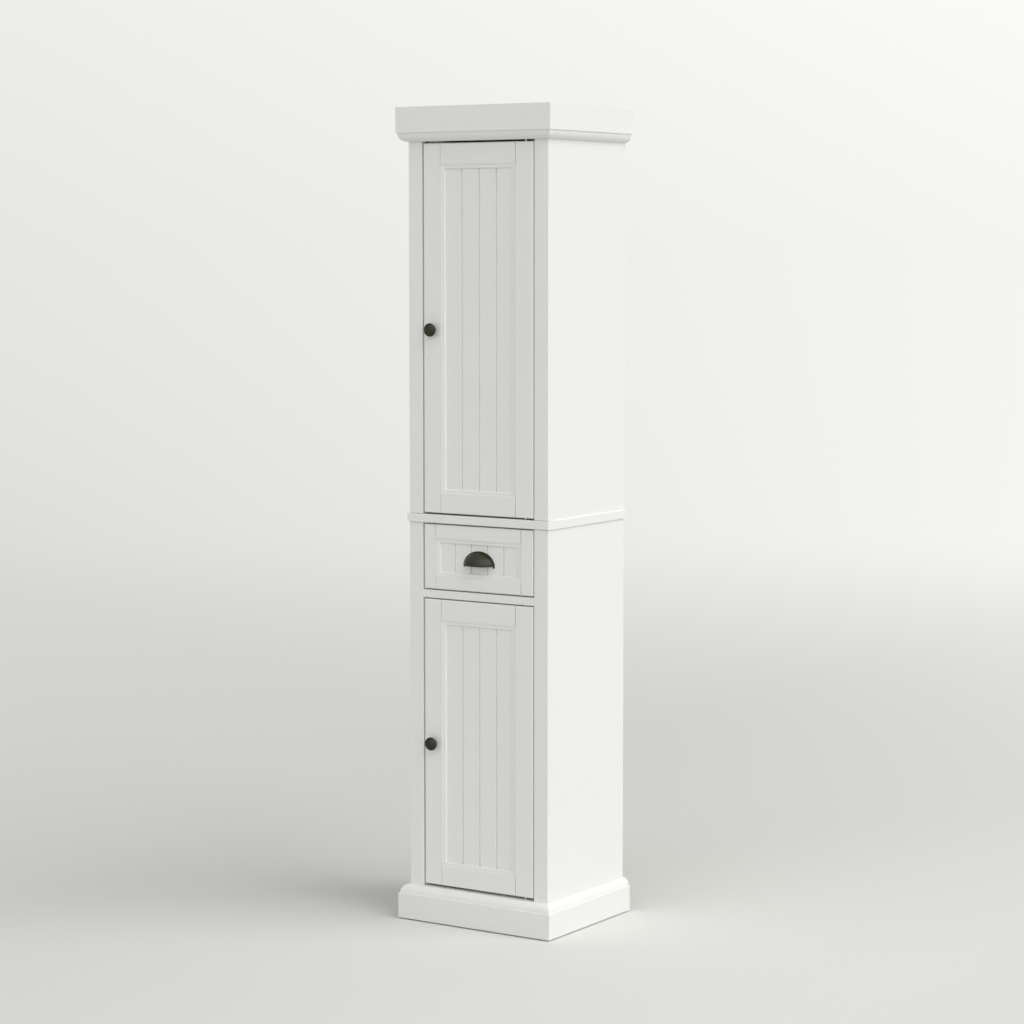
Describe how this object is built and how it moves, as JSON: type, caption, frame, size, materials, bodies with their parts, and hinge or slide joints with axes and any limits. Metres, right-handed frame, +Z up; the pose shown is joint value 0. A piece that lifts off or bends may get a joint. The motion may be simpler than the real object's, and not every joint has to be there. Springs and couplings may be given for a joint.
{
  "type": "tall bathroom cabinet",
  "caption": "Tall slim bathroom cabinet: pivoting panelled doors above and below a roller drawer, moulded crown and plinth, adjustable shelves inside and a rail for wall screws.",
  "frame": {"origin": "on the floor, under the middle of the cabinet's outer box (crown and plinth included)", "axes": "+Z up, +Y towards the wall behind the cabinet, the doors face -Y, +X to the right of a person who faces the doors"},
  "size_m": [0.406, 0.347, 1.83],
  "materials": {
    "white_paint": "satin white paint on wood",
    "white_interior": "matt white coated board",
    "white_back_board": "white faced hardboard",
    "birch_plywood": "clear varnished plywood",
    "dark_bronze": "oil-rubbed dark bronze",
    "zinc_plated_steel": "zinc plated",
    "nylon": "natural nylon",
    "white_plastic": "white plastic",
    "glide_plastic": "dark plastic"
  },
  "bodies": {
    "cabinet": {"lower_side_left": "white_paint", "lower_side_right": "white_paint", "upper_side_left": "white_paint", "upper_side_right": "white_paint", "lower_stile_left": "white_paint", "lower_stile_right": "white_paint", "upper_stile_left": "white_paint", "upper_stile_right": "white_paint", "waist_board": "white_paint", "drawer_divider": "white_paint", "bottom_panel": "white_paint", "ceiling_panel": "white_paint", "top_cap": "white_paint", "crown_front": "white_paint", "crown_left": "white_paint", "crown_right": "white_paint", "plinth_front": "white_paint", "plinth_left": "white_paint", "plinth_right": "white_paint", "upper_back_panel": "white_back_board", "lower_back_panel": "white_back_board", "wall_fixing_rail": "white_interior", "upper_shelves": "white_interior", "lower_shelf": "white_interior", "shelf_pins": "zinc_plated_steel", "floor_glides": "glide_plastic", "pivot_bushes": "nylon", "magnetic_catches": "white_plastic", "cam_fittings": "zinc_plated_steel", "runner_spacers": "birch_plywood", "cabinet_runners": "zinc_plated_steel"},
    "upper_door": {"upper_door_hinge_stile": "white_paint", "upper_door_knob_stile": "white_paint", "upper_door_rails": "white_paint", "upper_door_panel": "white_paint", "upper_door_bead": "white_paint", "upper_door_pivot_pins": "zinc_plated_steel", "upper_door_knob": "dark_bronze", "upper_door_strike_plate": "zinc_plated_steel"},
    "lower_door": {"lower_door_hinge_stile": "white_paint", "lower_door_knob_stile": "white_paint", "lower_door_rails": "white_paint", "lower_door_panel": "white_paint", "lower_door_bead": "white_paint", "lower_door_pivot_pins": "zinc_plated_steel", "lower_door_knob": "dark_bronze", "lower_door_strike_plate": "zinc_plated_steel"},
    "drawer": {"drawer_front_stiles": "white_paint", "drawer_front_rails": "white_paint", "drawer_front_panel": "white_paint", "drawer_front_bead": "white_paint", "drawer_cup_pull": "dark_bronze", "drawer_pull_screws": "zinc_plated_steel", "drawer_box_sides": "birch_plywood", "drawer_box_front": "birch_plywood", "drawer_box_back": "birch_plywood", "drawer_box_bottom": "birch_plywood", "drawer_runners": "zinc_plated_steel"},
    "cabinet_rollers": {"cabinet_rollers": "nylon"},
    "drawer_rollers": {"drawer_rollers": "nylon"}
  },
  "joints": [
    {"name": "upper_door_swing", "type": "hinge", "parent": "cabinet", "child": "upper_door", "pos_m": [0.121, -0.1405, 1.3394], "axis": [0, 0, 1], "range_deg": [0, 110]},
    {"name": "lower_door_swing", "type": "hinge", "parent": "cabinet", "child": "lower_door", "pos_m": [0.121, -0.1405, 0.40975], "axis": [0, 0, 1], "range_deg": [0, 110]},
    {"name": "drawer_slide", "type": "slide", "parent": "cabinet", "child": "drawer", "axis": [0, -1, 0], "range_m": [0, 0.19]},
    {"name": "cabinet_roller_spin", "type": "hinge", "parent": "cabinet", "child": "cabinet_rollers", "pos_m": [0, -0.119, 0.7835], "axis": [1, 0, 0], "range_deg": [0, 1361]},
    {"name": "drawer_roller_spin", "type": "hinge", "parent": "drawer", "child": "drawer_rollers", "pos_m": [0, 0.1075, 0.7815], "axis": [1, 0, 0], "range_deg": [0, 1361]}
  ],
  "couplings": [
    {"joint": "cabinet_roller_spin", "follows": "drawer_slide", "rad_per_m": 125},
    {"joint": "drawer_roller_spin", "follows": "drawer_slide", "rad_per_m": 125}
  ]
}
